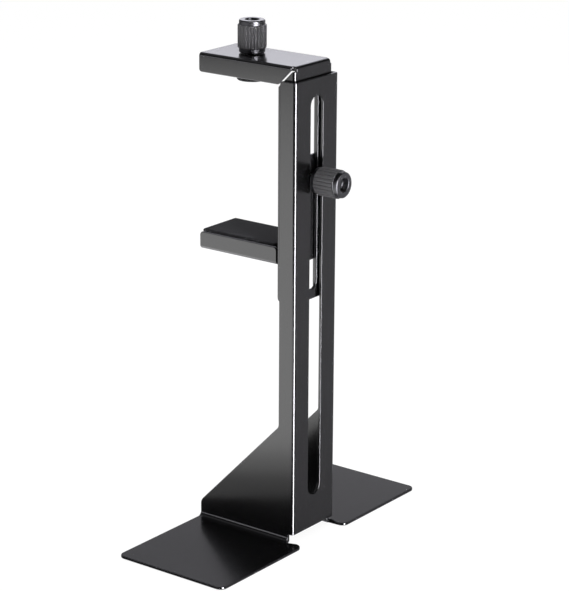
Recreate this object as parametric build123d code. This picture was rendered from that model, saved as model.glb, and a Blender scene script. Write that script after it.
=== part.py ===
from build123d import *
import math
import os

# Graphics card support bracket: a folded stand, two sliding folded arms that clamp from above and
# below, a lock screw through both slots and a clamp screw in the top plate.
# Millimetres, +Z up. While it is built, x = 0 is the middle of the column, y = 0 the front face of the
# column's web, +Y runs back along the arms and z = 0 is the floor. At the end every piece moves by
# frame_shift, so that the origin is on the floor under the middle of the whole bracket.

# Driving dimensions of the sheet
sheet = 1.2
bend_radius = 0.2
outer_bend = bend_radius + sheet

# Driving dimensions of the stand
column_width = 27.8
column_top = 189.6
column_flange = 7.6
web_bottom = 3.9
stand_slot_width = 7.8
stand_slot_bottom = 17.8
stand_slot_top = 182.7
gusset_top = 49.0
gusset_back_height = 7.8
gusset_hollow_radius = 3.0
gusset_corner_radius = 3.6
foot_length = 52.2
foot_front = 5.2
foot_back = 47.7
foot_corner_radius = 3.0
foot_relief = 2.5

# Driving dimensions of the upper arm, a channel inside the stand's channel
slide_clearance = 0.5
arm_flange = 8.0
arm_bottom = 100.4
arm_top = 195.3
arm_slot_width = 5.6
arm_slot_bottom = 104.4
arm_slot_top = 186.2
arm_corner_radius = 2.0
arm_overhang = 1.0
top_flange = 7.7
mitre_slit = 0.8

# Driving dimensions of the lower arm, a plate behind the upper arm's web and a tray
plate_clearance = 0.1
plate_over_lock = 9.6
tray_bottom = 115.6
tray_flange = 7.1
tray_flange_clearance = 0.6
tray_corner_radius = 1.5

# Driving dimensions of the soft pads
pad_top = 123.6
pad_side_clearance = 0.4
pad_front_setback = 2.2
pad_edge_radius = 0.8
pad_lower_radius = 0.4

# Driving dimensions of the knobs
knob_length = 13.0
knob_radius = 5.7
knob_ring_radius = 5.15
knob_ring_length = 1.9
knob_chamfer = 0.35
knob_flutes = 24
knob_flute_depth = 0.32
knob_recess = 1.9
knob_seat_clearance = 0.3

# Driving dimensions of the M3 cap screws and clinch nuts
screw_radius = 1.5
screw_head_radius = 2.75
screw_head_height = 3.0
screw_tip_chamfer = 0.4
socket_flats = 2.5
socket_depth = 1.6
screw_bore_clearance = 0.05
nut_radius = 3.15
nut_shank_radius = 2.12
nut_height = 1.6
nut_hole_clearance = 0.03
lock_height = 149.1
lock_screw_length = 16.0
clamp_reach = 31.8

# Driving dimensions of the pressure foot
foot_disc_radius = 6.0
foot_disc_height = 3.4
foot_disc_step = 1.2
foot_neck_radius = 3.6
foot_pad_height = 1.2
card_top = 184.8
tip_radius = 1.35
tip_height = 1.2
tip_neck_radius = 0.9
tip_clearance = 0.1
tip_chamfer = 0.25

# Sizes that follow
half_width = column_width / 2
foot_reach = half_width + foot_length
arm_half = half_width - sheet - slide_clearance
arm_front = sheet + slide_clearance
arm_back = foot_back + arm_overhang
arm_channel_back = arm_front + arm_flange
flat_half = arm_half - outer_bend
plate_front = arm_front + sheet + plate_clearance
plate_top = lock_height + plate_over_lock
tray_front = arm_channel_back + tray_flange_clearance
tip_seat_height = foot_disc_step / 2
tip_neck_length = foot_disc_height + 2 * tip_clearance - tip_seat_height - tip_height
head_seat_height = knob_length - knob_recess - screw_head_height
clamp_knob_low = arm_top + knob_seat_clearance
shank_end_height = card_top + foot_pad_height + foot_disc_height + 2 * tip_clearance
clamp_screw_length = clamp_knob_low + head_seat_height - shank_end_height
frame_shift = (knob_seat_clearance + knob_length - max(foot_back, arm_back)) / 2


def box(x0, x1, y0, y1, z0, z1):
    """A box between two corners."""
    return Pos(x0, y0, z0) * Box(x1 - x0, y1 - y0, z1 - z0, align=(Align.MIN, Align.MIN, Align.MIN))


def side_plate(x0, x1, outline, rounds):
    """A sheet standing across X, from an outline of (y, z) points with some corners rounded."""
    face = make_face(Polyline(*outline, close=True))
    for (y, z), radius in rounds:
        corner = face.vertices().sort_by_distance(Vector(y, z, 0))[0]
        face = fillet(corner, radius)
    standing = Plane(origin=(x0, 0, 0), x_dir=(0, 1, 0), z_dir=(1, 0, 0)) * face
    return extrude(standing, x1 - x0, dir=(1, 0, 0))


def bend(axis_plane, length, start_angle):
    """A quarter of sheet bent round an axis: a quarter ring in a plane, extruded along its normal."""
    ring = Circle(outer_bend) - Circle(bend_radius)
    quarter = Rot(0, 0, start_angle) * Rectangle(outer_bend, outer_bend, align=(Align.MIN, Align.MIN))
    return extrude(axis_plane * (ring & quarter), length, dir=axis_plane.z_dir)


def column_bend(x, y, z0, z1, start_angle):
    """A bend with an upright axis."""
    return bend(Plane(origin=(x, y, z0)), z1 - z0, start_angle)


def edge_bend(x, z, y0, y1, start_angle):
    """A bend with its axis along Y, its angles turning from +X to +Z."""
    return bend(Plane(origin=(x, y1, z), x_dir=(1, 0, 0), z_dir=(0, -1, 0)), y1 - y0, start_angle)


def cross_bend(y, z, x0, x1, start_angle):
    """A bend with its axis along X, its angles turning from +Y to +Z."""
    return bend(Plane(origin=(x0, y, z), x_dir=(0, 1, 0), z_dir=(1, 0, 0)), x1 - x0, start_angle)


def web_slot(width, z0, z1):
    """The cutter of an upright round-ended slot through a web."""
    slot = Plane.XZ * Pos(0, (z0 + z1) / 2) * Rot(0, 0, 90) * SlotOverall(z1 - z0, width)
    return extrude(slot, column_width, both=True)


def both_sides(piece):
    """A piece and its mirror image across the middle of the column."""
    return piece + mirror(piece, about=Plane.YZ)


def make_stand():
    """The stand, one folded sheet: web, flanges with gussets, foot plates."""
    web = box(-half_width + outer_bend, half_width - outer_bend, 0, sheet, web_bottom, column_top)
    corner = column_bend(-half_width + outer_bend, outer_bend, web_bottom, column_top, 180)
    outline = [
        (outer_bend, column_top),
        (column_flange, column_top),
        (column_flange, gusset_top),
        (foot_back, gusset_back_height),
        (foot_back, outer_bend),
        (foot_relief, outer_bend),
        (foot_relief, web_bottom),
        (outer_bend, web_bottom),
    ]
    rounds = [
        ((column_flange, column_top), sheet),
        ((column_flange, gusset_top), gusset_hollow_radius),
        ((foot_back, gusset_back_height), gusset_corner_radius),
    ]
    gusset = side_plate(-half_width, -half_width + sheet, outline, rounds)
    fold = edge_bend(-half_width - bend_radius, outer_bend, foot_relief, foot_back, 270)
    inner_edge = -half_width - bend_radius
    plate = box(-foot_reach, inner_edge, -foot_front, foot_back, 0, sheet)
    outer_corners = plate.edges().filter_by(Axis.Z).group_by(Axis.X)[0]
    inner_corner = plate.edges().filter_by(Axis.Z).group_by(Axis.X)[-1].sort_by(Axis.Y)[0]
    plate = fillet(list(outer_corners) + [inner_corner], foot_corner_radius)
    stand = web + both_sides(corner + gusset + fold + plate)
    return stand - web_slot(stand_slot_width, stand_slot_bottom, stand_slot_top)


def make_upper_arm():
    """The upper arm, one folded sheet: the inner channel, and the flanged plate folded back at its top."""
    bend_top = arm_top - outer_bend
    bend_back = arm_front + outer_bend
    mitre_sum = arm_front + arm_top
    slit = mitre_slit / math.sqrt(2)
    web = box(-flat_half, flat_half, arm_front, arm_front + sheet, arm_bottom, bend_top)
    top = box(-flat_half, flat_half, bend_back, arm_back, arm_top - sheet, arm_top)
    fold = cross_bend(bend_back, bend_top, -flat_half, flat_half, 90)

    # the column's flange ends at the mitre, half a slit below the corner's 45 degree line
    mitre_low = mitre_sum - slit
    corner = column_bend(-flat_half, bend_back, arm_bottom, mitre_low - bend_back, 180)
    flange_outline = [
        (bend_back, arm_bottom),
        (arm_channel_back, arm_bottom),
        (arm_channel_back, mitre_low - arm_channel_back),
        (bend_back, mitre_low - bend_back),
    ]
    flange_rounds = [((arm_channel_back, arm_bottom), arm_corner_radius)]
    flange = side_plate(-arm_half, -arm_half + sheet, flange_outline, flange_rounds)

    # the top plate's flange starts half a slit above that line
    mitre_high = mitre_sum + slit
    top_start = mitre_high - bend_top
    flange_low = arm_top - top_flange
    top_outline = [
        (top_start, bend_top),
        (arm_back, bend_top),
        (arm_back, flange_low),
        (mitre_high - flange_low, flange_low),
    ]
    top_rounds = [((arm_back, flange_low), sheet)]
    top_side = side_plate(-arm_half, -arm_half + sheet, top_outline, top_rounds)
    top_corner = edge_bend(-flat_half, bend_top, top_start, arm_back, 90)
    arm = web + top + fold + both_sides(corner + flange + top_side + top_corner)
    arm -= web_slot(arm_slot_width, arm_slot_bottom, arm_slot_top)
    nut_hole = Cylinder(nut_shank_radius + nut_hole_clearance, 3 * sheet)
    return arm - Pos(0, clamp_reach, arm_top - sheet / 2) * nut_hole


def make_lower_arm():
    """The lower arm, one folded sheet: the upright plate, and the tray with up-turned flanges."""
    bend_back = plate_front + outer_bend
    bend_bottom = tray_bottom + outer_bend
    upright = box(-flat_half, flat_half, plate_front, plate_front + sheet, bend_bottom, plate_top)
    top_corners = upright.edges().filter_by(Axis.Y).group_by(Axis.Z)[-1]
    upright = fillet(top_corners, arm_corner_radius)
    fold = cross_bend(bend_back, bend_bottom, -flat_half, flat_half, 180)
    tray = box(-flat_half, flat_half, bend_back, arm_back, tray_bottom, tray_bottom + sheet)
    side_bend = edge_bend(-flat_half, bend_bottom, tray_front, arm_back, 180)
    flange_top = tray_bottom + tray_flange
    outline = [
        (tray_front, bend_bottom),
        (arm_back, bend_bottom),
        (arm_back, flange_top),
        (tray_front, flange_top),
    ]
    rounds = [((arm_back, flange_top), tray_corner_radius), ((tray_front, flange_top), tray_corner_radius)]
    flange = side_plate(-arm_half, -arm_half + sheet, outline, rounds)
    arm = upright + fold + tray + both_sides(side_bend + flange)
    nut_hole = Rot(90, 0, 0) * Cylinder(nut_shank_radius + nut_hole_clearance, 3 * sheet)
    return arm - Pos(0, plate_front + sheet / 2, lock_height) * nut_hole


def make_tray_pad():
    """The soft pad that fills the tray and stands a little proud of its flanges."""
    half = arm_half - sheet - pad_side_clearance
    low = tray_bottom + sheet
    pad = box(-half, half, tray_front + pad_front_setback, arm_back, low, pad_top)
    lower_edges = pad.edges().filter_by(Axis.Y).group_by(Axis.Z)[0]
    pad = fillet(lower_edges, pad_lower_radius)
    upper_edges = pad.faces().sort_by(Axis.Z)[-1].edges()
    return fillet(upper_edges, pad_edge_radius)


def make_knob():
    """A knob standing on its back ring at z = 0: two smooth rings, a straight knurled barrel, a bore."""
    shoulder = knob_radius - knob_ring_radius
    profile = Polyline(
        (0, 0),
        (knob_ring_radius - knob_chamfer, 0),
        (knob_ring_radius, knob_chamfer),
        (knob_ring_radius, knob_ring_length),
        (knob_radius - shoulder / 2, knob_ring_length),
        (knob_radius, knob_ring_length + shoulder / 2),
        (knob_radius, knob_length - knob_ring_length - shoulder / 2),
        (knob_radius - shoulder / 2, knob_length - knob_ring_length),
        (knob_ring_radius, knob_length - knob_ring_length),
        (knob_ring_radius, knob_length - knob_chamfer),
        (knob_ring_radius - knob_chamfer, knob_length),
        (0, knob_length),
        close=True,
    )
    body = revolve(Plane.XZ * make_face(profile), Axis.Z)
    pitch = 2 * math.pi * knob_radius / knob_flutes
    flute_face = make_face(
        Polyline(
            (knob_radius - knob_flute_depth, 0),
            (knob_radius + knob_flute_depth, pitch / 2),
            (knob_radius + knob_flute_depth, -pitch / 2),
            close=True,
        )
    )
    flute = Pos(0, 0, knob_ring_length) * extrude(flute_face, knob_length - 2 * knob_ring_length)
    flutes = [Rot(0, 0, 360 * i / knob_flutes) * flute for i in range(knob_flutes)]
    body -= flutes
    head_bore = Pos(0, 0, head_seat_height) * Cylinder(
        screw_head_radius + screw_bore_clearance, knob_length, align=(Align.CENTER, Align.CENTER, Align.MIN)
    )
    body -= head_bore
    body -= Cylinder(screw_radius + screw_bore_clearance, 3 * knob_length)
    return body


def make_screw(length, grooved_tip):
    """A cap screw hanging from its head seat at z = 0: head with a hex socket above, shank below."""
    head_profile = Polyline(
        (0, 0),
        (screw_head_radius, 0),
        (screw_head_radius, screw_head_height - screw_tip_chamfer),
        (screw_head_radius - screw_tip_chamfer, screw_head_height),
        (0, screw_head_height),
        close=True,
    )
    head = revolve(Plane.XZ * make_face(head_profile), Axis.Z)
    socket = extrude(RegularPolygon(socket_flats / 2, 6, major_radius=False), socket_depth)
    head -= Pos(0, 0, screw_head_height - socket_depth) * socket
    shank_profile = Polyline(
        (0, 0),
        (screw_radius, 0),
        (screw_radius, -length + screw_tip_chamfer),
        (screw_radius - screw_tip_chamfer, -length),
        (0, -length),
        close=True,
    )
    screw = head + revolve(Plane.XZ * make_face(shank_profile), Axis.Z)
    if grooved_tip:
        tip_low = -length - tip_neck_length - tip_height
        tip_profile = Polyline(
            (0, -length),
            (tip_neck_radius, -length),
            (tip_neck_radius, tip_low + tip_height),
            (tip_radius, tip_low + tip_height),
            (tip_radius, tip_low + tip_chamfer),
            (tip_radius - tip_chamfer, tip_low),
            (0, tip_low),
            close=True,
        )
        screw += revolve(Plane.XZ * make_face(tip_profile), Axis.Z)
    return screw


def make_nut():
    """A clinch nut with its shank up through the sheet and its body below, seated at z = 0."""
    body = Cylinder(nut_radius, nut_height, align=(Align.CENTER, Align.CENTER, Align.MAX))
    body = chamfer(body.edges().filter_by(GeomType.CIRCLE).sort_by(Axis.Z)[0], screw_tip_chamfer)
    shank = Cylinder(nut_shank_radius, sheet, align=(Align.CENTER, Align.CENTER, Align.MIN))
    return body + shank - Cylinder(screw_radius + screw_bore_clearance, 4 * nut_height)


def make_pressure_foot():
    """The turned foot on its pad at z = 0: a disc, a stepped neck and a socket for the screw's tip."""
    disc_edge = knob_chamfer
    profile = Polyline(
        (0, 0),
        (foot_disc_radius - disc_edge, 0),
        (foot_disc_radius, disc_edge),
        (foot_disc_radius, foot_disc_step),
        (foot_neck_radius, foot_disc_height - disc_edge),
        (foot_neck_radius - disc_edge, foot_disc_height),
        (0, foot_disc_height),
        close=True,
    )
    foot = revolve(Plane.XZ * make_face(profile), Axis.Z)
    socket_floor = tip_seat_height - tip_clearance
    socket_height = tip_height + 2 * tip_clearance
    upward = (Align.CENTER, Align.CENTER, Align.MIN)
    foot -= Pos(0, 0, socket_floor) * Cylinder(tip_radius + tip_clearance, socket_height, align=upward)
    foot -= Pos(0, 0, socket_floor) * Cylinder(tip_neck_radius + tip_clearance, foot_disc_height, align=upward)
    return foot


def place(name, solid, location):
    """Move a finished piece to its place and write it."""
    piece = Pos(0, frame_shift, 0) * location * solid
    piece.label = name
    export_step(piece, os.path.join("parts", name + ".step"))
    return piece


os.makedirs("parts", exist_ok=True)

forward = Rot(90, 0, 0)
level = Pos(0, 0, 0)
lock_axis = Pos(0, -knob_seat_clearance, lock_height) * forward
clamp_axis = Pos(0, clamp_reach, clamp_knob_low)
foot_place = Pos(0, clamp_reach, card_top + foot_pad_height)

foot_pad = Cylinder(foot_disc_radius, foot_pad_height, align=(Align.CENTER, Align.CENTER, Align.MAX))
foot_pad = chamfer(foot_pad.edges().filter_by(GeomType.CIRCLE).sort_by(Axis.Z)[0], knob_chamfer)

place("stand", make_stand(), level)
place("upper_arm", make_upper_arm(), level)
place("lower_arm", make_lower_arm(), level)
place("lower_arm_pad", make_tray_pad(), level)
place("lock_knob", make_knob(), lock_axis)
place("lock_screw", make_screw(lock_screw_length, False), lock_axis * Pos(0, 0, head_seat_height))
place("lock_nut", make_nut(), Pos(0, plate_front + sheet, lock_height) * forward)
place("clamp_knob", make_knob(), clamp_axis)
place("clamp_screw", make_screw(clamp_screw_length, True), clamp_axis * Pos(0, 0, head_seat_height))
place("clamp_nut", make_nut(), Pos(0, clamp_reach, arm_top - sheet))
place("clamp_foot", make_pressure_foot(), foot_place)
place("clamp_foot_pad", foot_pad, foot_place)

print("frame shift", round(frame_shift, 3), "clamp screw length", round(clamp_screw_length, 3))
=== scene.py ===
# %% [markdown]
# # Graphics card support bracket
#
# This lesson dresses a small bracket of folded black sheet. A slotted column stands on two foot plates, two
# folded arms slide in it, and two knurled knobs lock them and set the clamp. The shapes and sizes come from
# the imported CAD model, which is loaded first and stays where it is. Everything here is in metres, with the
# floor at z = 0.

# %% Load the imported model
import math

import bmesh
import bpy
import numpy as np
from mathutils import Matrix, Vector


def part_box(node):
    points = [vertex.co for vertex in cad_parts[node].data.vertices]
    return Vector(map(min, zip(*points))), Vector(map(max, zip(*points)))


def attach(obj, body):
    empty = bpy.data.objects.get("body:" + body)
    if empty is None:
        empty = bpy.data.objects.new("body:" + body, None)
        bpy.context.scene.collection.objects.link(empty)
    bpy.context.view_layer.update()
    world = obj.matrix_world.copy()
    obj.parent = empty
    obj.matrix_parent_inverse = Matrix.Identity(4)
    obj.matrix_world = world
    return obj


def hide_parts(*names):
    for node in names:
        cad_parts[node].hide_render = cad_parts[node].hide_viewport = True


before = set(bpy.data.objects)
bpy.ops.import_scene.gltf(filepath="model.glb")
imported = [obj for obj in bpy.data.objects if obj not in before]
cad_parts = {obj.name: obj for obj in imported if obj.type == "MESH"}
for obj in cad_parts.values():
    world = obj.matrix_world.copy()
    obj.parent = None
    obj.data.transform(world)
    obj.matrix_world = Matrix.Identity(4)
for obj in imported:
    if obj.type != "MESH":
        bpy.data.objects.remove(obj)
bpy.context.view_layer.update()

MM = 0.001

# %% [markdown]
# ## The camera
#
# A product photograph is usually taken from far away with a long lens, so that upright edges stay nearly
# parallel. The place of this camera was worked out from the corners of the stand: it stands to the front
# left, a little above the bracket, and looks down by about 17 degrees. The view is given as three turns,
# which is easier to check than a matrix of nine numbers.

# %% Put the camera in place
CAMERA_PLACE = (-0.71659, -0.54375, 0.37968)
CAMERA_HEADING, CAMERA_DIP, CAMERA_ROLL = 52.929, 17.349, 0.303
FOCAL_PIXELS, PICTURE_WIDTH, SENSOR_WIDTH = 2359.8, 569, 36.0

camera = bpy.data.objects.new("camera", bpy.data.cameras.new("camera"))
bpy.context.scene.collection.objects.link(camera)
camera.data.sensor_fit = "HORIZONTAL"
camera.data.sensor_width = SENSOR_WIDTH
camera.data.lens = FOCAL_PIXELS * SENSOR_WIDTH / PICTURE_WIDTH
camera.data.clip_start, camera.data.clip_end = 0.01, 20.0
turn = Matrix.Rotation(math.radians(-CAMERA_HEADING), 4, "Z")
turn = turn @ Matrix.Rotation(math.radians(90 - CAMERA_DIP), 4, "X")
turn = turn @ Matrix.Rotation(math.radians(CAMERA_ROLL), 4, "Z")
camera.matrix_world = Matrix.Translation(CAMERA_PLACE) @ turn
bpy.context.scene.camera = camera
bpy.context.scene.view_settings.view_transform = "Standard"
looking_along = [round(v, 3) for v in turn @ Vector((0, 0, -1))]
print("lens", round(camera.data.lens, 1), "mm, looking along", looking_along)

# %% [markdown]
# ## Folded sheets with softened edges
#
# The stand and both arms are laser cut from 1.2 mm steel, folded, and then powder coated. The coat rounds
# every cut edge a little, and those thin rounded edges catch the light as fine lines. A perfectly sharp
# edge would stay dark. The CAD mesh is made of loose triangles, so a copy is welded, its flat triangles are
# joined into large faces, and a narrow bevel goes along every edge that is sharper than a bend's facets.
# The two folds between the gussets and the foot plates also get a wider inner radius, which shows as a thin
# light line between two dark faces.

# %% Widen the two foot folds
WELD = 0.0005 * MM
COLUMN_HALF, FOOT_TOP, CAD_BEND = 13.9 * MM, 1.2 * MM, 0.2 * MM
FOOT_BEND, FOOT_BEND_STEPS = 1.8 * MM, 6
SHORTEST_FOLD = 20 * MM


def soften_foot_folds(work):
    """The inner bend between each gusset and its foot plate gets the wide radius of a real press brake's
    tool. Its narrow arc is gathered into the corner at x = COLUMN_HALF, z = FOOT_TOP, and that edge is
    rounded by FOOT_BEND."""
    near = 0.01 * MM
    for vert in work.verts:
        x, y, z = vert.co
        if -near < abs(x) - COLUMN_HALF < CAD_BEND + near and -near < z - FOOT_TOP < CAD_BEND + near:
            vert.co = (math.copysign(COLUMN_HALF, x), y, FOOT_TOP)
    bmesh.ops.remove_doubles(work, verts=work.verts, dist=WELD)
    corner = [
        edge for edge in work.edges
        if edge.calc_length() > SHORTEST_FOLD
        and all(abs(abs(v.co.x) - COLUMN_HALF) < near and abs(v.co.z - FOOT_TOP) < near for v in edge.verts)
    ]
    bmesh.ops.bevel(
        work, geom=corner, offset=FOOT_BEND, segments=FOOT_BEND_STEPS, profile=0.5, affect="EDGES"
    )
    print("foot folds rounded:", len(corner))


# %% Copy a folded sheet and round its cut edges
EDGE_ROUND = 0.3 * MM
FLAT_TURN, SHARP_TURN = math.radians(0.4), math.radians(40)


def folded_sheet(name, node, body):
    """A piece whose surface is the node's own, with each sharp edge replaced by a narrow round: for every
    edge that turns by more than 40 degrees, the two faces are drawn back by EDGE_ROUND and a quarter circle
    joins them."""
    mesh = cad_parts[node].data.copy()
    mesh.name = name
    work = bmesh.new()
    work.from_mesh(mesh)
    bmesh.ops.remove_doubles(work, verts=work.verts, dist=WELD)
    bmesh.ops.dissolve_limit(work, angle_limit=FLAT_TURN, verts=work.verts, edges=work.edges)
    if node == "stand":
        soften_foot_folds(work)
    for edge in work.edges:
        edge.smooth = True
    for face in work.faces:
        face.smooth = True
    work.to_mesh(mesh)
    work.free()
    mesh.materials.clear()
    piece = bpy.data.objects.new(name, mesh)
    bpy.context.scene.collection.objects.link(piece)
    bevel = piece.modifiers.new("cut edges", "BEVEL")
    bevel.width = EDGE_ROUND
    bevel.segments = 2
    bevel.limit_method = "ANGLE"
    bevel.angle_limit = SHARP_TURN
    bevel.harden_normals = False
    bevel.use_clamp_overlap = False
    flat = piece.modifiers.new("flat faces stay flat", "WEIGHTED_NORMAL")
    flat.mode = "FACE_AREA"
    flat.weight = 100
    flat.thresh = 0.02
    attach(piece, body)
    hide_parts(node)
    print(name, len(mesh.polygons), "faces before the bevel")
    return piece


# %% The stand and both arms
stand_sheet = folded_sheet("stand_sheet", "stand", "stand")
upper_arm_sheet = folded_sheet("upper_arm_sheet", "upper_arm", "clamp_arm")
lower_arm_sheet = folded_sheet("lower_arm_sheet", "lower_arm", "tray_arm")

# %% [markdown]
# ## Turned pieces
#
# The knobs and screws are turned on a lathe, so each is a profile swung round an axis. The profile is a
# list of points, each a radius and a height. A lathe's tool leaves no perfectly sharp corner, so every
# corner of the profile is rounded first. Knurling, a hexagon socket and a screw thread all change the
# radius with the angle, so they are rules that are handed to the same function.

# %% Round the corners of a profile
CORNER_STEPS = 4


def rounded_profile(corners, rounding):
    """Profile points with every corner cut by a short curve. A corner B between A and C becomes the
    quadratic curve (1-t)^2 P + 2 t (1-t) B + t^2 Q, with P and Q on the two sides, `rounding` away from B
    or less on a short side."""
    corners = np.asarray(corners, float)
    before, corner, after = corners[:-2], corners[1:-1], corners[2:]
    back, ahead = before - corner, after - corner
    back_length = np.linalg.norm(back, axis=1, keepdims=True)
    ahead_length = np.linalg.norm(ahead, axis=1, keepdims=True)
    reach = np.minimum(rounding, 0.45 * np.minimum(back_length, ahead_length))
    first, last = corner + back / back_length * reach, corner + ahead / ahead_length * reach
    t = np.linspace(0, 1, CORNER_STEPS)[None, :, None]
    curve = (1 - t) ** 2 * first[:, None] + 2 * t * (1 - t) * corner[:, None] + t**2 * last[:, None]
    return np.vstack([corners[:1], curve.reshape(-1, 2), corners[-1:]])


# %% Swing a profile round an axis
CREASE = math.radians(38)


def turned(name, profile, around, place, forward, rule):
    """A surface of revolution. The point (i, j) is profile point i, a radius r and a height h, at the angle
    a = 2 pi j / around: x = r cos a, y = r sin a, z = h. The rule gives r as a function of (r, h, a). A
    forward piece is tipped so that its height points to the front, along -Y. The profile starts and ends on
    the axis, or runs round a bore and closes on itself."""
    profile = np.asarray(profile, float)
    closed = bool(np.allclose(profile[0], profile[-1]))
    rows = profile[:-1] if closed else profile
    radius, height = rows[:, :1], rows[:, 1:]
    angle = np.linspace(0, 2 * np.pi, around, endpoint=False)[None, :]
    radius = rule(radius, height, angle)
    points = np.stack([radius * np.cos(angle), radius * np.sin(angle), height + 0 * angle], axis=-1)
    points = points.reshape(-1, 3)
    if forward:
        points = points[:, [0, 2, 1]] * [1, -1, 1]
    points = points * MM + np.asarray(place)

    i = np.arange(len(rows) if closed else len(rows) - 1)[:, None]
    j = np.arange(around)[None, :]
    i_next, j_next = (i + 1) % len(rows), (j + 1) % around
    quads = np.stack(
        [i * around + j, i * around + j_next, i_next * around + j_next, i_next * around + j], axis=-1
    ).reshape(-1, 4)
    mesh = bpy.data.meshes.new(name)
    mesh.from_pydata(points.tolist(), [], quads.tolist())
    work = bmesh.new()
    work.from_mesh(mesh)
    bmesh.ops.remove_doubles(work, verts=work.verts, dist=WELD)
    bmesh.ops.recalc_face_normals(work, faces=work.faces)
    for edge in work.edges:
        edge.smooth = edge.calc_face_angle(0) < CREASE
    for face in work.faces:
        face.smooth = True
    work.to_mesh(mesh)
    work.free()
    piece = bpy.data.objects.new(name, mesh)
    bpy.context.scene.collection.objects.link(piece)
    return piece


def dress(piece, node, body):
    """A new piece rides on its body and stands in for its CAD node, which is hidden."""
    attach(piece, body)
    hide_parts(node)
    print(piece.name, len(piece.data.polygons), "faces")


# %% [markdown]
# ## The knobs
#
# Both knobs are the same turned part: a straight-knurled barrel between two smooth rings, with a bore that
# lets the screw's head sink in. Real straight knurling is pressed in by a wheel, which leaves rounded lands
# between narrow grooves, so the barrel's radius follows the angle. The grooves fade out on the chamfers at
# the barrel's ends.

# %% The knurled knob's profile
KNOB_LENGTH, KNOB_RADIUS, RING_RADIUS, RING_LENGTH = 13.0, 5.7, 5.15, 1.9
BORE_RADIUS, HEAD_BORE_RADIUS, HEAD_SEAT = 1.55, 2.8, 8.1
KNURLS, KNURL_DEPTH = 24, 0.32
EDGE, BORE_EDGE, CORNER_ROUND = 0.35, 0.2, 0.1
BORE_SEAM = 4.0
LAND_SHARE, GROOVE_START, ROW_SLACK = 0.45, 0.1, 0.05

shoulder = KNOB_RADIUS - RING_RADIUS
barrel_rows = np.linspace(RING_LENGTH + shoulder / 2, KNOB_LENGTH - RING_LENGTH - shoulder / 2, 12)
knob_profile = [(BORE_RADIUS, BORE_SEAM), (BORE_RADIUS, 0), (RING_RADIUS - EDGE, 0), (RING_RADIUS, EDGE)]
knob_profile += [(RING_RADIUS, RING_LENGTH), (KNOB_RADIUS - shoulder / 2, RING_LENGTH)]
knob_profile += [(KNOB_RADIUS, z) for z in barrel_rows]
knob_profile += [(KNOB_RADIUS - shoulder / 2, KNOB_LENGTH - RING_LENGTH)]
knob_profile += [(RING_RADIUS, KNOB_LENGTH - RING_LENGTH), (RING_RADIUS, KNOB_LENGTH - EDGE)]
knob_profile += [(RING_RADIUS - EDGE, KNOB_LENGTH), (HEAD_BORE_RADIUS + BORE_EDGE, KNOB_LENGTH)]
knob_profile += [(HEAD_BORE_RADIUS, KNOB_LENGTH - BORE_EDGE), (HEAD_BORE_RADIUS, HEAD_SEAT)]
knob_profile += [(BORE_RADIUS, HEAD_SEAT), (BORE_RADIUS, BORE_SEAM)]
knob_profile = rounded_profile(knob_profile, CORNER_ROUND)
print("knob profile:", len(knob_profile), "points")


def knurling(radius, height, angle):
    """The barrel's radius falls by KNURL_DEPTH in each groove. A groove's form is a smooth bump of the
    distance to the groove's middle, and LAND_SHARE of the way between two grooves stays a plain land. It
    only acts where the radius is larger than the rings'."""
    share = np.abs((angle * KNURLS / (2 * np.pi)) % 1 - 0.5) * 2
    groove = np.clip((share - LAND_SHARE) / (1 - LAND_SHARE), 0, 1)
    groove = groove * groove * (3 - 2 * groove)
    on_barrel = np.clip((radius - RING_RADIUS - GROOVE_START) / (shoulder - GROOVE_START), 0, 1)
    below, above = height > RING_LENGTH - ROW_SLACK, height < KNOB_LENGTH - RING_LENGTH + ROW_SLACK
    on_barrel = on_barrel * below * above
    return radius - KNURL_DEPTH * groove * on_barrel


# %% Turn both knobs
def middle(node):
    """The middle of a CAD node's box, in metres."""
    low, high = (np.array(corner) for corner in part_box(node))
    return (low + high) / 2


KNOB_AROUND = KNURLS * 10
lock_middle, clamp_middle = middle("lock_knob"), middle("clamp_knob")
lock_seat = lock_middle + [0, KNOB_LENGTH / 2 * MM, 0]
clamp_seat = clamp_middle - [0, 0, KNOB_LENGTH / 2 * MM]
lock_knob = turned("lock_knob_knurled", knob_profile, KNOB_AROUND, lock_seat, True, knurling)
clamp_knob = turned("clamp_knob_knurled", knob_profile, KNOB_AROUND, clamp_seat, False, knurling)
dress(lock_knob, "lock_knob", "lock_screw")
dress(clamp_knob, "clamp_knob", "clamp_screw")

# %% [markdown]
# ## The screws
#
# Each knob is fixed on a cap screw with a hexagon socket, whose head sits in the knob's bore. Seen from the
# front, only the socket shows, and it catches bright spots of light. The shank carries a fine thread. A
# thread is a ridge that climbs as it goes round, so its form depends on the height less a share of a pitch
# for each share of a turn.

# %% The screw's profile and its two rules
SHANK_RADIUS, HEAD_RADIUS, HEAD_HEIGHT = 1.5, 2.75, 3.0
SOCKET_APOTHEM, SOCKET_DEPTH = 1.25, 1.6
SOCKET_TAPER, SOCKET_POINT, LEAD_WIDTH, LEAD_DEPTH = 0.98, 0.25, 0.16, 0.12
HEAD_EDGE, UNDER_EDGE, TIP_EDGE = 0.4, 0.15, 0.4
HEAD_ROUND, TIP_ROUND = 0.08, 0.06
PLAIN_SHANK, THREAD_START, THREAD_FADE = 1.0, 1.2, 0.5
THREAD_PITCH, THREAD_DEPTH, THREAD_STEPS = 0.5, 0.28, 8
SCREW_AROUND = 72


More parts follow.
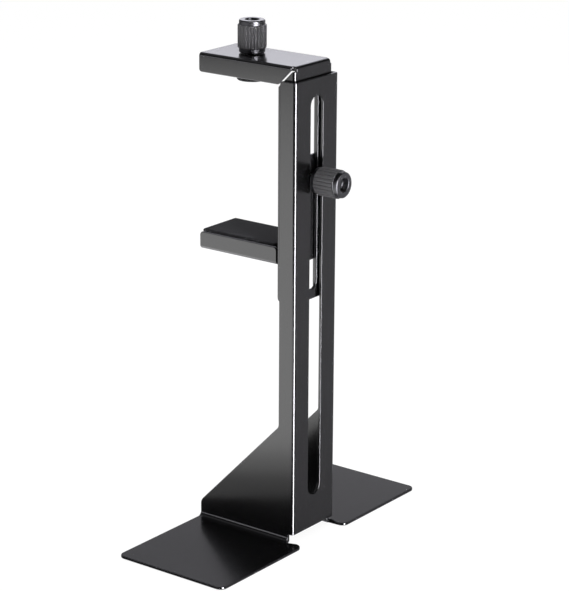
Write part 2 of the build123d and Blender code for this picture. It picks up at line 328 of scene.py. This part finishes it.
def screw_profile(length, tip):
    """Half the outline of a cap screw, from the socket's floor over the head and down the shank."""
    floor = HEAD_HEIGHT - SOCKET_DEPTH
    head = [(0, floor - SOCKET_POINT), (SOCKET_APOTHEM * SOCKET_TAPER, floor)]
    head += [(SOCKET_APOTHEM, HEAD_HEIGHT - LEAD_DEPTH), (SOCKET_APOTHEM + LEAD_WIDTH, HEAD_HEIGHT)]
    head += [(HEAD_RADIUS - HEAD_EDGE, HEAD_HEIGHT), (HEAD_RADIUS, HEAD_HEIGHT - HEAD_EDGE)]
    head += [(HEAD_RADIUS, UNDER_EDGE), (HEAD_RADIUS - UNDER_EDGE, 0)]
    head += [(SHANK_RADIUS, 0), (SHANK_RADIUS, -PLAIN_SHANK)]
    rows = np.arange(-PLAIN_SHANK, -length + THREAD_FADE, -THREAD_PITCH / THREAD_STEPS)[1:]
    shank = np.stack([np.full(len(rows), SHANK_RADIUS), rows], axis=1)
    end = [(SHANK_RADIUS, -length + TIP_EDGE), (SHANK_RADIUS - TIP_EDGE, -length)] + tip
    return np.vstack([rounded_profile(head, HEAD_ROUND), shank, rounded_profile(end, TIP_ROUND)])


def socket_and_thread(length):
    """A rule for the screw. Inside the socket, the radius is the apothem divided by the cosine of the angle
    from the nearest flat's middle, which draws a hexagon. On the shank, it falls by the thread's depth
    times a triangle wave of height / pitch - angle / turn, fading in under the head and out at the tip."""

    def rule(radius, height, angle):
        from_flat = (angle + np.pi / 6) % (np.pi / 3) - np.pi / 6
        in_socket = (radius <= SOCKET_APOTHEM + 0.01) & (height > HEAD_HEIGHT / 4)
        hexagon = radius / np.cos(from_flat)
        wave = np.abs(((height / THREAD_PITCH - angle / (2 * np.pi)) % 1) - 0.5) * 2
        start = np.clip((-THREAD_START - height) / THREAD_FADE, 0, 1)
        end = np.clip((height + length - THREAD_FADE) / THREAD_FADE, 0, 1)
        threaded = radius - THREAD_DEPTH * wave * start * end
        return np.where(in_socket, hexagon, np.where(height < -PLAIN_SHANK, threaded, radius + 0 * angle))

    return rule


# %% Turn both screws
LOCK_LENGTH, CLAMP_LENGTH = 16.0, 14.1
NECK_RADIUS, NECK_LENGTH, TIP_RADIUS, TIP_LENGTH, TIP_CHAMFER = 0.9, 1.8, 1.35, 1.2, 0.25
lock_head = lock_seat - [0, HEAD_SEAT * MM, 0]
clamp_head = clamp_seat + [0, 0, HEAD_SEAT * MM]
plain_tip = [(0, -LOCK_LENGTH)]
lock_screw = turned(
    "lock_screw_threaded", screw_profile(LOCK_LENGTH, plain_tip), SCREW_AROUND, lock_head, True,
    socket_and_thread(LOCK_LENGTH),
)
neck = -CLAMP_LENGTH - NECK_LENGTH
end = neck - TIP_LENGTH
grooved_tip = [(NECK_RADIUS, -CLAMP_LENGTH), (NECK_RADIUS, neck), (TIP_RADIUS, neck)]
grooved_tip += [(TIP_RADIUS, end + TIP_CHAMFER), (TIP_RADIUS - TIP_CHAMFER, end), (0, end)]
clamp_screw = turned(
    "clamp_screw_threaded", screw_profile(CLAMP_LENGTH, grooved_tip), SCREW_AROUND, clamp_head, False,
    socket_and_thread(CLAMP_LENGTH),
)
dress(lock_screw, "lock_screw", "lock_screw")
dress(clamp_screw, "clamp_screw", "clamp_screw")

# %% [markdown]
# ## The soft pads
#
# A strip of dense foam rubber lies in the tray, and a thin disc of it is glued under the pressure foot.
# Foam is cut from a sheet and its edges give a little, so the strip is an outline carried up along a
# profile of insets: the bottom edge curls in slightly, the sides are upright and the top edge is well
# rounded, with a top that is crowned by a tenth of a millimetre. The thin disc is hidden and flat, so it
# stays as the CAD model has it.

# %% Carry an outline up along a profile of insets
OUTLINE_STEPS, EDGE_STEPS, CROWN_STEPS = 10, 7, 5
PAD_CORNER, PAD_TOP_EDGE = 0.9 * MM, 0.8 * MM
PAD_LOW_EDGE, PAD_LOW_CURL, PAD_CROWN = 0.25 * MM, 0.08 * MM, 0.1 * MM
PAD_INNERMOST, LEAST_ROUND = 0.2 * MM, 0.02 * MM


def soft_pad(name, middle_point, half_x, half_y, height, corner, edge, body, node):
    """A rounded box. Ring k is a rounded rectangle whose half sides are smaller by the inset d(k), at the
    height z(k). A corner's points are its centre plus (corner - d) times (cos a, sin a). Insets follow a
    quarter circle at the top edge: d = edge (1 - cos b) and z = height - crown - edge (1 - sin b). From
    there the rings close in evenly, and z rises by the crown as a quarter of a sine wave."""
    b = np.linspace(0, np.pi / 2, EDGE_STEPS)
    insets = [PAD_LOW_EDGE, PAD_LOW_CURL, 0] + list(edge * (1 - np.cos(b[1:])))
    levels = [0, PAD_LOW_CURL, PAD_LOW_EDGE] + list(height - edge + edge * np.sin(b[1:]) - PAD_CROWN)
    inner = np.linspace(0, 1, CROWN_STEPS)[1:]
    reach = min(half_x, half_y) - edge - PAD_INNERMOST
    insets += list(edge + inner * reach)
    levels += list(height - PAD_CROWN * (1 - np.sin(inner * np.pi / 2)))
    insets, levels = np.array(insets)[:, None], np.array(levels)[:, None]

    quarter = np.linspace(0, np.pi / 2, OUTLINE_STEPS)[None, :]
    a = (np.arange(4)[:, None] * np.pi / 2 + quarter).ravel()[None, :]
    side = np.repeat(np.array([[1, 1], [-1, 1], [-1, -1], [1, -1]]), OUTLINE_STEPS, axis=0).T
    round_now = np.maximum(corner - insets, LEAST_ROUND)
    x = side[0] * (half_x - insets - round_now) + round_now * np.cos(a)
    y = side[1] * (half_y - insets - round_now) + round_now * np.sin(a)
    rings, count = len(insets), a.shape[1]
    points = np.stack([x, y, levels + 0 * x], axis=-1).reshape(-1, 3) + np.asarray(middle_point)
    i, j = np.arange(rings - 1)[:, None], np.arange(count)[None, :]
    j_next = (j + 1) % count
    quads = np.stack(
        [i * count + j, i * count + j_next, (i + 1) * count + j_next, (i + 1) * count + j], axis=-1
    ).reshape(-1, 4)
    caps = [list(range(count))[::-1], list(range((rings - 1) * count, rings * count))]
    mesh = bpy.data.meshes.new(name)
    mesh.from_pydata(points.tolist(), [], quads.tolist() + caps)
    mesh.shade_smooth()
    piece = bpy.data.objects.new(name, mesh)
    bpy.context.scene.collection.objects.link(piece)
    dress(piece, node, body)
    return piece


pad_low, pad_high = (np.array(corner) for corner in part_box("lower_arm_pad"))
pad_half = (pad_high - pad_low) / 2
pad_floor = [(pad_low[0] + pad_high[0]) / 2, (pad_low[1] + pad_high[1]) / 2, pad_low[2]]
tray_pad = soft_pad(
    "tray_pad", pad_floor, pad_half[0], pad_half[1], 2 * pad_half[2], PAD_CORNER, PAD_TOP_EDGE,
    "tray_arm", "lower_arm_pad",
)

# %% [markdown]
# ## Powder coat
#
# Powder coat is a film of melted plastic powder, here a black one with a soft gloss. Up close it has a fine
# orange peel: shallow dimples under a millimetre across, which break up the reflections. The dimples are a
# noise on the object's own coordinates, so they stay put when a piece moves. Several finishes here have
# some fine grain, so the grain is a node group that each of them uses with its own values.

# %% A shader group for fine grain
def new_group(name, inputs, outputs):
    """A shader node group with the given float or colour sockets."""
    group = bpy.data.node_groups.new(name, "ShaderNodeTree")
    for socket, kind, value in inputs:
        made = group.interface.new_socket(socket, in_out="INPUT", socket_type=kind)
        made.default_value = value
    for socket, kind in outputs:
        group.interface.new_socket(socket, in_out="OUTPUT", socket_type=kind)
    return group, group.nodes.new("NodeGroupInput"), group.nodes.new("NodeGroupOutput")


FINER, SLOW_SCALE = 4.0, 60.0


def make_fine_grain():
    """Height = two noises of Object coordinates, a coarse one and one FINER times finer, mixed by Fineness.
    Roughness = Base Roughness plus Unevenness times a slow noise, so that the gloss varies over the
    surface."""
    group, entry, result = new_group(
        "fine grain",
        [("Scale", "NodeSocketFloat", 1500.0), ("Fineness", "NodeSocketFloat", 0.4),
         ("Base Roughness", "NodeSocketFloat", 0.4), ("Unevenness", "NodeSocketFloat", 0.05)],
        [("Height", "NodeSocketFloat"), ("Roughness", "NodeSocketFloat")],
    )
    nodes, links = group.nodes, group.links
    place = nodes.new("ShaderNodeTexCoord")
    coarse, fine, slow = (nodes.new("ShaderNodeTexNoise") for _ in range(3))
    finer = nodes.new("ShaderNodeMath")
    finer.operation = "MULTIPLY"
    finer.inputs[1].default_value = FINER
    mix = nodes.new("ShaderNodeMix")
    swing = nodes.new("ShaderNodeMath")
    swing.operation = "SUBTRACT"
    swing.inputs[1].default_value = 0.5
    amount = nodes.new("ShaderNodeMath")
    amount.operation = "MULTIPLY_ADD"
    for noise in (coarse, fine, slow):
        links.new(place.outputs["Object"], noise.inputs["Vector"])
    slow.inputs["Scale"].default_value = SLOW_SCALE
    links.new(entry.outputs["Scale"], coarse.inputs["Scale"])
    links.new(entry.outputs["Scale"], finer.inputs[0])
    links.new(finer.outputs[0], fine.inputs["Scale"])
    links.new(entry.outputs["Fineness"], mix.inputs["Factor"])
    links.new(coarse.outputs["Fac"], mix.inputs["A"])
    links.new(fine.outputs["Fac"], mix.inputs["B"])
    links.new(mix.outputs["Result"], result.inputs["Height"])
    links.new(slow.outputs["Fac"], swing.inputs[0])
    links.new(swing.outputs[0], amount.inputs[0])
    links.new(entry.outputs["Unevenness"], amount.inputs[1])
    links.new(entry.outputs["Base Roughness"], amount.inputs[2])
    links.new(amount.outputs[0], result.inputs["Roughness"])
    return group


fine_grain = make_fine_grain()
print("group:", fine_grain.name, [s.name for s in fine_grain.interface.items_tree])


# %% The coated sheet's material
def finish_material(name, colour, metallic, grain, bump_strength, bump_distance, specular=0.5):
    """A Principled surface whose roughness and bump come from the fine grain group."""
    material = bpy.data.materials.new(name)
    material.use_nodes = True
    material.diffuse_color = (*colour, 1)
    nodes, links = material.node_tree.nodes, material.node_tree.links
    surface = nodes["Principled BSDF"]
    surface.inputs["Base Color"].default_value = (*colour, 1)
    surface.inputs["Metallic"].default_value = metallic
    surface.inputs["Specular IOR Level"].default_value = specular
    group = nodes.new("ShaderNodeGroup")
    group.node_tree = fine_grain
    for socket, value in grain.items():
        group.inputs[socket].default_value = value
    bump = nodes.new("ShaderNodeBump")
    bump.inputs["Strength"].default_value = bump_strength
    bump.inputs["Distance"].default_value = bump_distance
    links.new(group.outputs["Height"], bump.inputs["Height"])
    links.new(bump.outputs["Normal"], surface.inputs["Normal"])
    links.new(group.outputs["Roughness"], surface.inputs["Roughness"])
    return material


def coat(piece, material):
    """Puts one material on the whole piece."""
    piece.data.materials.clear()
    piece.data.materials.append(material)


powder_coat = finish_material(
    "powder coat", (0.003, 0.003, 0.0032), 0.0,
    {"Scale": 1400.0, "Fineness": 0.35, "Base Roughness": 0.2, "Unevenness": 0.04}, 0.25, 0.02 * MM,
)
for sheet_piece in (stand_sheet, upper_arm_sheet, lower_arm_sheet):
    coat(sheet_piece, powder_coat)

# %% [markdown]
# ## Metals and foam
#
# The knobs are aluminium, anodised dark grey, and each has three finishes. The knurled barrel is satin and
# scatters light, the turned rings mirror it softly, and the faced ends are smoother and paler. The screws
# are nickel plated and dark, the hidden nuts are zinc plated, and the pressure foot is black. The foam is
# nearly black and has almost no gloss.

# %% Turned metal, zinc and foam
knob_metal = finish_material(
    "anodised knob", (0.045, 0.045, 0.047), 1.0,
    {"Scale": 2500.0, "Fineness": 0.5, "Base Roughness": 0.36, "Unevenness": 0.06}, 0.1, 0.01 * MM,
)
screw_metal = finish_material(
    "dark nickel", (0.12, 0.12, 0.125), 1.0,
    {"Scale": 2500.0, "Fineness": 0.5, "Base Roughness": 0.25, "Unevenness": 0.05}, 0.1, 0.01 * MM,
)
zinc = finish_material(
    "bright zinc", (0.62, 0.63, 0.65), 1.0,
    {"Scale": 1200.0, "Fineness": 0.5, "Base Roughness": 0.35, "Unevenness": 0.1}, 0.15, 0.02 * MM,
)
black_metal = finish_material(
    "black anodised foot", (0.045, 0.045, 0.05), 1.0,
    {"Scale": 2500.0, "Fineness": 0.5, "Base Roughness": 0.35, "Unevenness": 0.05}, 0.1, 0.01 * MM,
)
foam = finish_material(
    "foam rubber", (0.014, 0.014, 0.015), 0.0,
    {"Scale": 2600.0, "Fineness": 0.6, "Base Roughness": 0.85, "Unevenness": 0.1}, 0.8, 0.1 * MM, 0.3,
)
knurl_metal = finish_material(
    "satin knurling", (0.086, 0.085, 0.089), 0.0,
    {"Scale": 2500.0, "Fineness": 0.5, "Base Roughness": 0.5, "Unevenness": 0.06}, 0.1, 0.01 * MM, 0.1,
)
face_metal = finish_material(
    "faced end", (0.1, 0.1, 0.104), 1.0,
    {"Scale": 2500.0, "Fineness": 0.5, "Base Roughness": 0.26, "Unevenness": 0.05}, 0.1, 0.01 * MM,
)


# %% Share out the knob's finishes
FACES_ALONG = 0.9


def knob_finishes(knob, knob_middle, axis):
    """A knob's faces take one of three materials. The barrel is what lies between the rings and outside
    the bore. The faced ends are what looks along the axis, outside the bore. The rest is the plain ring
    metal."""
    mesh = knob.data
    middles, normals = np.empty(len(mesh.polygons) * 3), np.empty(len(mesh.polygons) * 3)
    mesh.polygons.foreach_get("center", middles)
    mesh.polygons.foreach_get("normal", normals)
    offset = middles.reshape(-1, 3) / MM - np.asarray(knob_middle) / MM
    along = offset[:, axis]
    radius = np.linalg.norm(np.delete(offset, axis, axis=1), axis=1)
    barrel = (radius > RING_RADIUS - KNURL_DEPTH) & (np.abs(along) < KNOB_LENGTH / 2 - RING_LENGTH)
    ends = (radius > HEAD_BORE_RADIUS) & (np.abs(normals.reshape(-1, 3)[:, axis]) > FACES_ALONG)
    mesh.materials.clear()
    for material in (knob_metal, knurl_metal, face_metal):
        mesh.materials.append(material)
    mesh.polygons.foreach_set("material_index", np.select([barrel, ends], [1, 2], 0).astype(np.int32))
    print(knob.name, "barrel faces:", int(barrel.sum()), "end faces:", int((ends & ~barrel).sum()))


along_y, along_z = 1, 2
knob_finishes(lock_knob, lock_middle, along_y)
knob_finishes(clamp_knob, clamp_middle, along_z)
for screw in (lock_screw, clamp_screw):
    coat(screw, screw_metal)
coat(tray_pad, foam)
for node, material in (
    ("lock_nut", zinc), ("clamp_nut", zinc), ("clamp_foot", black_metal), ("clamp_foot_pad", foam)
):
    coat(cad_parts[node], material)

# %% [markdown]
# ## Floor, backdrop and light
#
# The bracket stands on pure white. A black coat shows almost nothing but reflections, so the studio round
# it decides how it looks. The backdrop is white to the camera. In mirror rays the studio is dim, with five
# lit zones: a pale wall on the right that the slotted web shows, a narrow lamp in front that draws the
# bright line down the column's bend, a wall behind that lies in the top plate, a pale horizon on the left
# that draws the light line in the foot's fold, and a faint lamp high behind. Where a surface looks steeply
# down, it shows the white floor.

# %% Helpers for shader nodes
def math_node(tree, operation, first, second=0.0, third=0.0):
    """A math node, fed by numbers or by other nodes' outputs."""
    node = tree.nodes.new("ShaderNodeMath")
    node.operation = operation
    for socket, value in zip(node.inputs, (first, second, third)):
        if isinstance(value, (int, float)):
            socket.default_value = value
        else:
            tree.links.new(value, socket)
    return node.outputs[0]


def smooth_step(tree, value, low, high):
    """Rises smoothly from 0 at low to 1 at high."""
    node = tree.nodes.new("ShaderNodeMapRange")
    node.interpolation_type = "SMOOTHSTEP"
    node.inputs["From Min"].default_value = low
    node.inputs["From Max"].default_value = high
    tree.links.new(value, node.inputs["Value"])
    return node.outputs["Result"]


def emitter(tree, kind, strength, colour=(1, 1, 1)):
    """A background or emission shader of a given strength and colour."""
    node = tree.nodes.new(kind)
    node.inputs["Color"].default_value = (*colour, 1)
    if isinstance(strength, float):
        node.inputs["Strength"].default_value = strength
    else:
        tree.links.new(strength, node.inputs["Strength"])
    return node.outputs[0]


def choose(tree, share, first, second):
    """The first shader where share is 0 and the second where it is 1."""
    node = tree.nodes.new("ShaderNodeMixShader")
    for socket, value in zip(node.inputs, (share, first, second)):
        tree.links.new(value, socket)
    return node.outputs[0]


# %% The studio that mirror rays see
FILL_STRENGTH = 0.45
UNLIT, FLOOR_MIRRORED = 0.06, 0.9
MIRROR_TINT = (0.95, 0.94, 1.0)
# mirror rays start to see the white floor where they dip by the first angle, and see it fully at the second
FLOOR_FROM, FLOOR_FULL = 28, 40
# half the height of the soft edge under and over each zone, in degrees
SOFT_BELOW, SOFT_ABOVE = 4, 6
# zone, azimuth, half width, softness of its sides, lowest and highest elevation in degrees, radiance
STUDIO = (
    ("pale wall on the right", -58, 55, 20, -24, 18, 0.59),
    ("lamp in front", 18, 7, 4, -30, 22, 90.0),
    ("wall behind", -127, 45, 20, 3, 24, 0.72),
    ("pale horizon on the left", 127, 45, 15, 0, 9, 4.5),
    ("high lamp behind", 170, 35, 10, 40, 62, 0.3),
)


def towards(azimuth):
    """The level direction at an azimuth: 0 is straight in front of the column, and it grows to the left."""
    a = math.radians(azimuth)
    return Vector((-math.sin(a), -math.cos(a), 0))


# %% World: white to the camera, graded in mirror rays
world = bpy.data.worlds.new("studio")
bpy.context.scene.world = world
world.use_nodes = True
world.cycles.sampling_method = "NONE"
tree = world.node_tree
tree.nodes.remove(tree.nodes["Background"])
look = tree.nodes.new("ShaderNodeTexCoord")
split = tree.nodes.new("ShaderNodeSeparateXYZ")
tree.links.new(look.outputs["Generated"], split.inputs[0])
level, unit = (tree.nodes.new("ShaderNodeVectorMath") for _ in range(2))
level.operation, unit.operation = "MULTIPLY", "NORMALIZE"
level.inputs[1].default_value = (1, 1, 0)
tree.links.new(look.outputs["Generated"], level.inputs[0])
tree.links.new(level.outputs[0], unit.inputs[0])
dips = [math.sin(math.radians(-dip)) for dip in (FLOOR_FROM, FLOOR_FULL)]
steep = smooth_step(tree, split.outputs["Z"], *dips)
mirrored = math_node(tree, "MULTIPLY_ADD", steep, FLOOR_MIRRORED, UNLIT)
for title, azimuth, half_width, soft, lowest, highest, strength in STUDIO:
    facing = tree.nodes.new("ShaderNodeVectorMath")
    facing.operation = "DOT_PRODUCT"
    facing.label = title
    facing.inputs[1].default_value = towards(azimuth)
    tree.links.new(unit.outputs[0], facing.inputs[0])
    edges = [math.cos(math.radians(half_width + soft)), math.cos(math.radians(max(half_width - soft, 0)))]
    across = smooth_step(tree, facing.outputs["Value"], *edges)
    bottom = [math.sin(math.radians(lowest + d)) for d in (-SOFT_BELOW, SOFT_BELOW)]
    top = [math.sin(math.radians(highest + d)) for d in (SOFT_ABOVE, -SOFT_ABOVE)]
    above = smooth_step(tree, split.outputs["Z"], *bottom)
    below = smooth_step(tree, split.outputs["Z"], *top)
    share = math_node(tree, "MULTIPLY", math_node(tree, "MULTIPLY", across, below), above)
    mirrored = math_node(tree, "MULTIPLY_ADD", share, strength, mirrored)

path = tree.nodes.new("ShaderNodeLightPath")
background = choose(
    tree, path.outputs["Is Glossy Ray"],
    emitter(tree, "ShaderNodeBackground", FILL_STRENGTH),
    emitter(tree, "ShaderNodeBackground", mirrored, MIRROR_TINT),
)
seen = math_node(tree, "MAXIMUM", path.outputs["Is Camera Ray"], path.outputs["Is Transmission Ray"])
background = choose(tree, seen, background, emitter(tree, "ShaderNodeBackground", 1.0))
tree.links.new(background, tree.nodes["World Output"].inputs["Surface"])
print("world nodes:", len(tree.nodes))

# %% Floor: white, with a soft shadow
FLOOR_HALF, FLOOR_DROP = 3.0, 0.0002
FLOOR_GLOW, FLOOR_SHADOWED, FLOOR_PLAIN = 0.92, 0.14, 0.5

corners = np.array([[-1, -1], [1, -1], [1, 1], [-1, 1]]) * FLOOR_HALF
floor_mesh = bpy.data.meshes.new("floor")
floor_mesh.from_pydata([(x, y, -FLOOR_DROP) for x, y in corners], [], [(0, 1, 2, 3)])
floor = bpy.data.objects.new("floor", floor_mesh)
bpy.context.scene.collection.objects.link(floor)
floor.visible_glossy = False

pale = bpy.data.materials.new("white floor")
pale.use_nodes = True
tree = pale.node_tree
tree.nodes.remove(tree.nodes["Principled BSDF"])
shadowed, plain = tree.nodes.new("ShaderNodeBsdfDiffuse"), tree.nodes.new("ShaderNodeBsdfDiffuse")
shadowed.inputs["Color"].default_value = (FLOOR_SHADOWED,) * 3 + (1,)
plain.inputs["Color"].default_value = (FLOOR_PLAIN,) * 3 + (1,)
both = tree.nodes.new("ShaderNodeAddShader")
tree.links.new(emitter(tree, "ShaderNodeEmission", FLOOR_GLOW), both.inputs[0])
tree.links.new(shadowed.outputs[0], both.inputs[1])
path = tree.nodes.new("ShaderNodeLightPath")
surface = choose(tree, path.outputs["Is Camera Ray"], plain.outputs[0], both.outputs[0])
tree.links.new(surface, tree.nodes["Material Output"].inputs["Surface"])
floor_mesh.materials.append(pale)

# %% [markdown]
# ## Lamps
#
# Two soft lamps give the plain level of light: a key from the front and one overhead. They stay out of
# mirror rays, so they draw no spots. The back panel brightens the reflection in the top plate. Three faint
# panels lie on the floor to the left and shine up. Each begins further out than the one before and ends
# nearer, so they add up to a floor that is dark at the foot plate, pale in the middle and falls off again,
# and the gusset and the flange mirror that grading.


# %% Panels of light
def panel(name, azimuth, distance, height, width, tall, radiance, aim):
    """A rectangular lamp, aimed at a point. Its power is pi times its radiance times its area, so that its
    own reflection has a known brightness."""
    data = bpy.data.lights.new(name, "AREA")
    data.shape = "RECTANGLE"
    data.size, data.size_y = width, tall
    data.energy = math.pi * radiance * width * tall
    lamp = bpy.data.objects.new(name, data)
    bpy.context.scene.collection.objects.link(lamp)
    lamp.location = towards(azimuth) * distance + Vector((0, 0, height))
    lamp.rotation_euler = (Vector(aim) - lamp.location).to_track_quat("-Z", "Y").to_euler()
    lamp.visible_camera = False
    print(name, "radiance", radiance, "power", round(data.energy, 2), "W")
    return lamp


BACK_TINT = (0.91, 0.91, 1.0)
back = panel(
    "back panel", azimuth=-124, distance=0.35, height=0.36, width=0.35, tall=0.22, radiance=1.4,
    aim=(0, 0.01, 0.2),
)
back.data.color = BACK_TINT
LYING_AZIMUTH, LYING_WIDTH, LYING_RISE = 127, 0.5, 0.002
# distance of the near edge, distance of the far edge, radiance
LYING = ((0.046, 1.1, 0.7), (0.07, 0.95, 1.0), (0.09, 0.8, 1.6))
for step, (near, far, radiance) in enumerate(LYING, 1):
    lying = panel(
        f"lying panel {step}", LYING_AZIMUTH, distance=(near + far) / 2, height=LYING_RISE * step,
        width=LYING_WIDTH, tall=far - near, radiance=radiance, aim=(0, 0, 1),
    )
    lying.rotation_euler = (math.pi, 0, math.radians(-LYING_AZIMUTH))
LOW_ON_COLUMN = (0, 0, 0.1)
key = panel(
    "key", azimuth=-15, distance=0.9, height=0.9, width=0.5, tall=0.5, radiance=2.5, aim=LOW_ON_COLUMN
)
overhead = panel(
    "overhead", azimuth=0, distance=0.1, height=1.2, width=0.9, tall=0.9, radiance=2.2, aim=LOW_ON_COLUMN
)
for lamp in (key, overhead):
    lamp.visible_glossy = False
